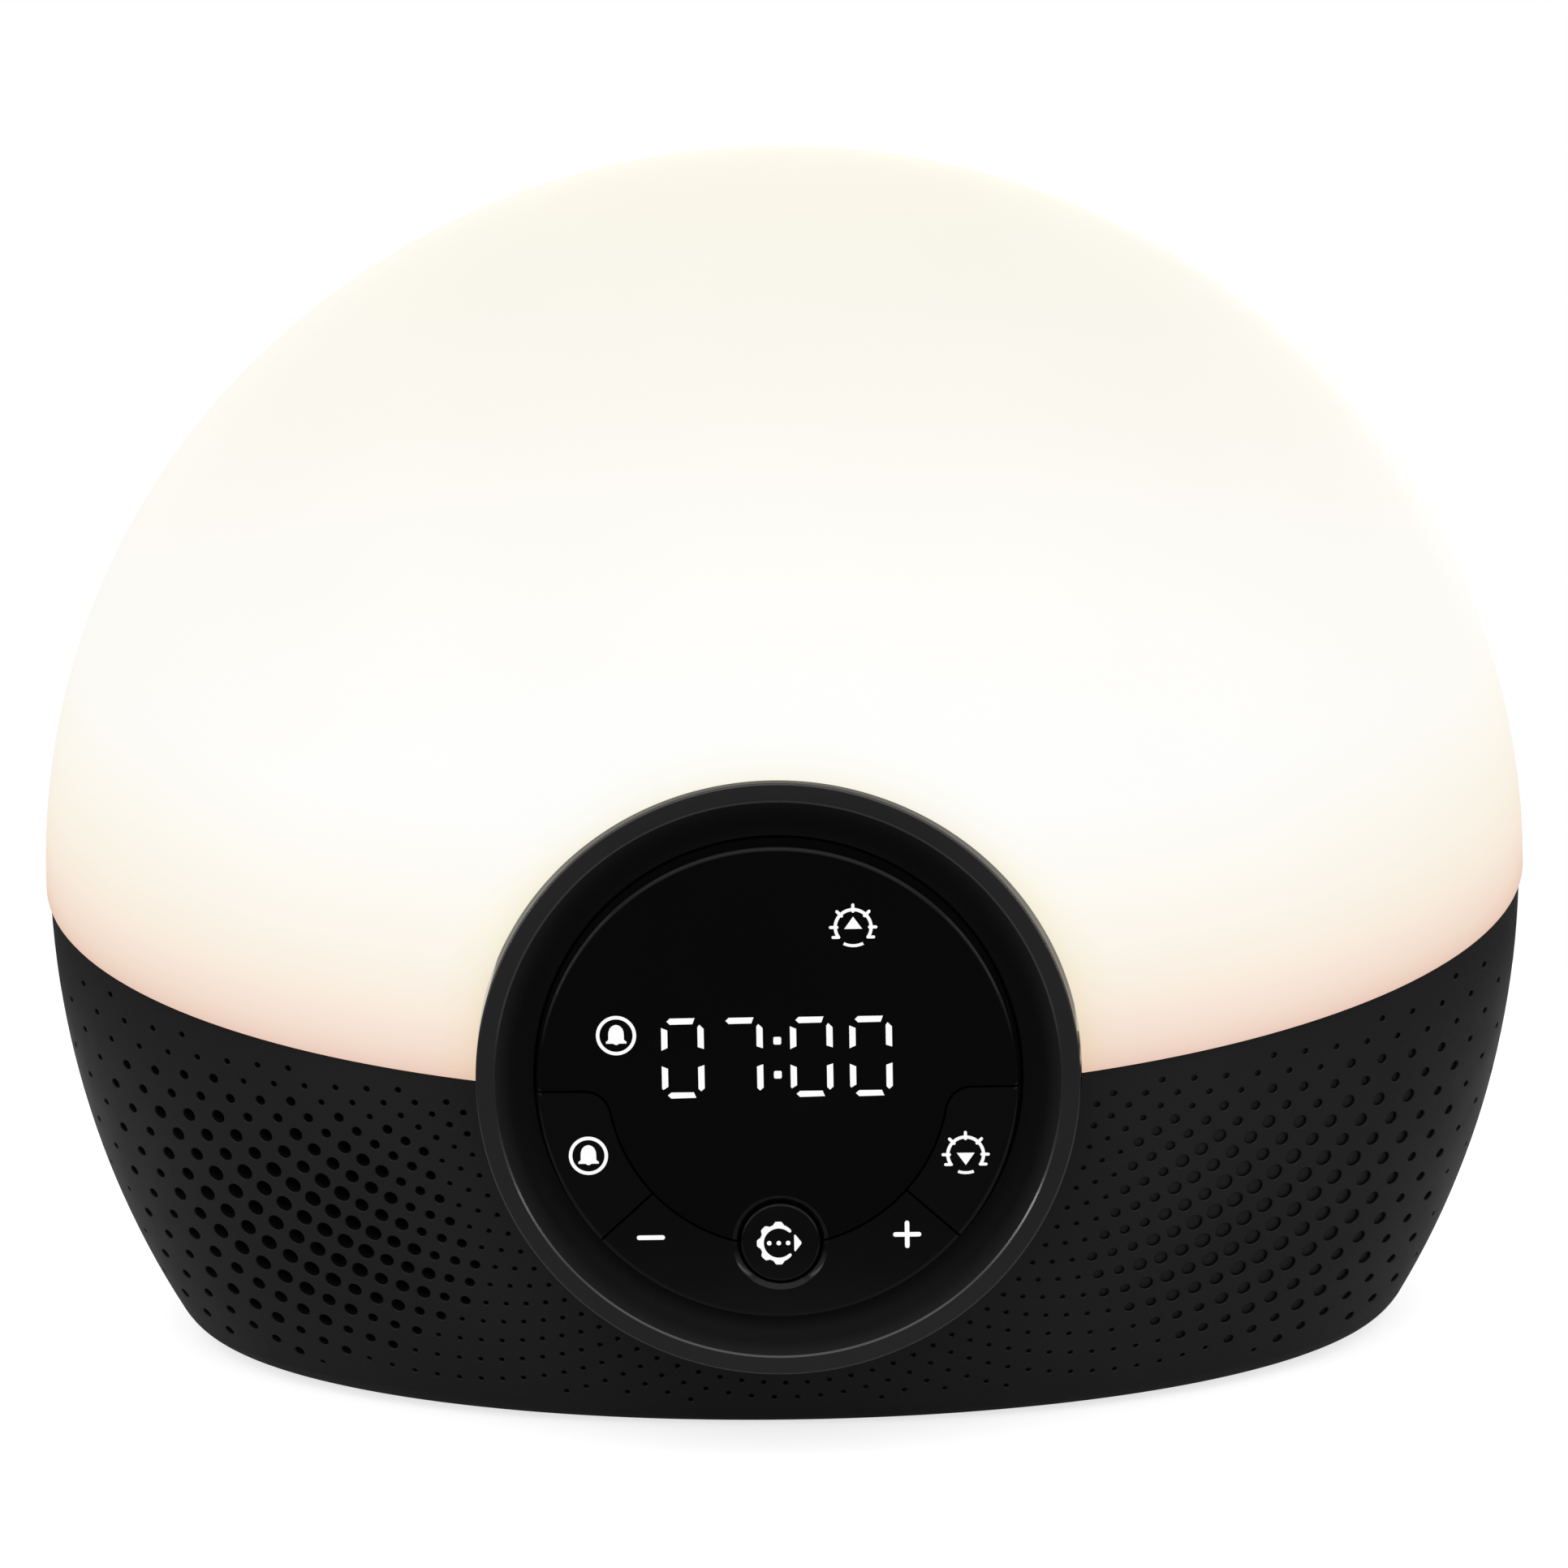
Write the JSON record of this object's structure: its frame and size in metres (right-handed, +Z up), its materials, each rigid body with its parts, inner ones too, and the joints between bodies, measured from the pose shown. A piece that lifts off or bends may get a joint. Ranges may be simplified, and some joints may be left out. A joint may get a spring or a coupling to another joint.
{
  "type": "sunrise alarm clock",
  "caption": "Bedside wake-up light: glowing oval dome on a dark perforated base, with a round front dial that holds the time display, press keys and a rocker key.",
  "frame": {"origin": "middle of the footprint, on the surface that the feet stand on", "axes": "+Z up, -Y towards the user, who faces the dial, +X to the user's right"},
  "size_m": [0.1998, 0.121, 0.1621],
  "materials": {
    "dome": "satin translucent opal, lit warm from inside",
    "dark_shell": "fine matte texture",
    "dark_rim": "satin moulded",
    "black_gloss": "polished smoked window",
    "black_key": "satin gloss",
    "rubber": "soft matte",
    "white_plastic": "matte reflector white",
    "circuit_board": "solder mask",
    "light_board": "white solder mask",
    "aluminium": "plain rolled",
    "steel": "zinc plated",
    "emitter": "phosphor face",
    "foam": "closed cell foam",
    "paper_cone": "pressed paper",
    "lead_jacket": "smooth jacket",
    "inlet_black": "moulded"
  },
  "bodies": {
    "housing": {"dome_diffuser": "dome", "base_shell": "dark_shell", "base_cover": "dark_shell", "dial_bezel": "dark_rim", "display_window": "black_gloss", "display_module": "black_key", "key_frame": "dark_shell", "housing_cover": "dark_shell", "main_board": "circuit_board", "reflector_tray": "white_plastic", "heat_spreader": "aluminium", "light_board": "light_board", "speaker_gasket": "foam", "speaker_basket": "steel", "speaker_cone": "paper_cone", "speaker_magnet": "steel", "dc_jack": "inlet_black", "jack_nut": "steel", "jack_lead": "lead_jacket", "light_lead": "lead_jacket", "speaker_lead": "lead_jacket", "foot_1": "rubber", "cover_screw_1": "steel", "foot_2": "rubber", "cover_screw_2": "steel", "foot_3": "rubber", "cover_screw_3": "steel", "foot_4": "rubber", "cover_screw_4": "steel", "frame_screw_1": "steel", "frame_screw_2": "steel", "frame_screw_3": "steel", "board_screw_1": "steel", "light_screw_1": "steel", "speaker_screw_1": "steel", "board_screw_2": "steel", "light_screw_2": "steel", "speaker_screw_2": "steel", "emitter_1": "emitter", "emitter_2": "emitter", "emitter_3": "emitter", "emitter_4": "emitter", "emitter_5": "emitter", "emitter_6": "emitter", "alarm_switch": "inlet_black", "sunset_switch": "inlet_black", "select_switch": "inlet_black", "minus_switch": "inlet_black", "plus_switch": "inlet_black"},
    "alarm_key_body": {"alarm_key": "black_key", "alarm_plunger": "white_plastic"},
    "sunset_key_body": {"sunset_key": "black_key", "sunset_plunger": "white_plastic"},
    "select_key_body": {"select_key": "black_key", "select_plunger": "white_plastic"},
    "level_rocker_body": {"level_rocker": "black_key", "minus_plunger": "white_plastic", "plus_plunger": "white_plastic"}
  },
  "joints": [
    {"name": "alarm_key_press", "type": "slide", "parent": "housing", "child": "alarm_key_body", "axis": [0, 0.9963, -0.0854], "range_m": [0, 0.0005], "stiffness_N_per_m": 3000},
    {"name": "sunset_key_press", "type": "slide", "parent": "housing", "child": "sunset_key_body", "axis": [0, 0.9963, -0.0854], "range_m": [0, 0.0005], "stiffness_N_per_m": 3000},
    {"name": "select_key_press", "type": "slide", "parent": "housing", "child": "select_key_body", "axis": [0, 0.9963, -0.0854], "range_m": [0, 0.0005], "stiffness_N_per_m": 3000},
    {"name": "level_rock", "type": "hinge", "parent": "housing", "child": "level_rocker_body", "pos_m": [0, -0.05089, 0.02232], "axis": [0, 0.0854, 0.9963], "range_deg": [-1.2, 1.2], "stiffness_Nm_per_rad": 1.1}
  ]
}
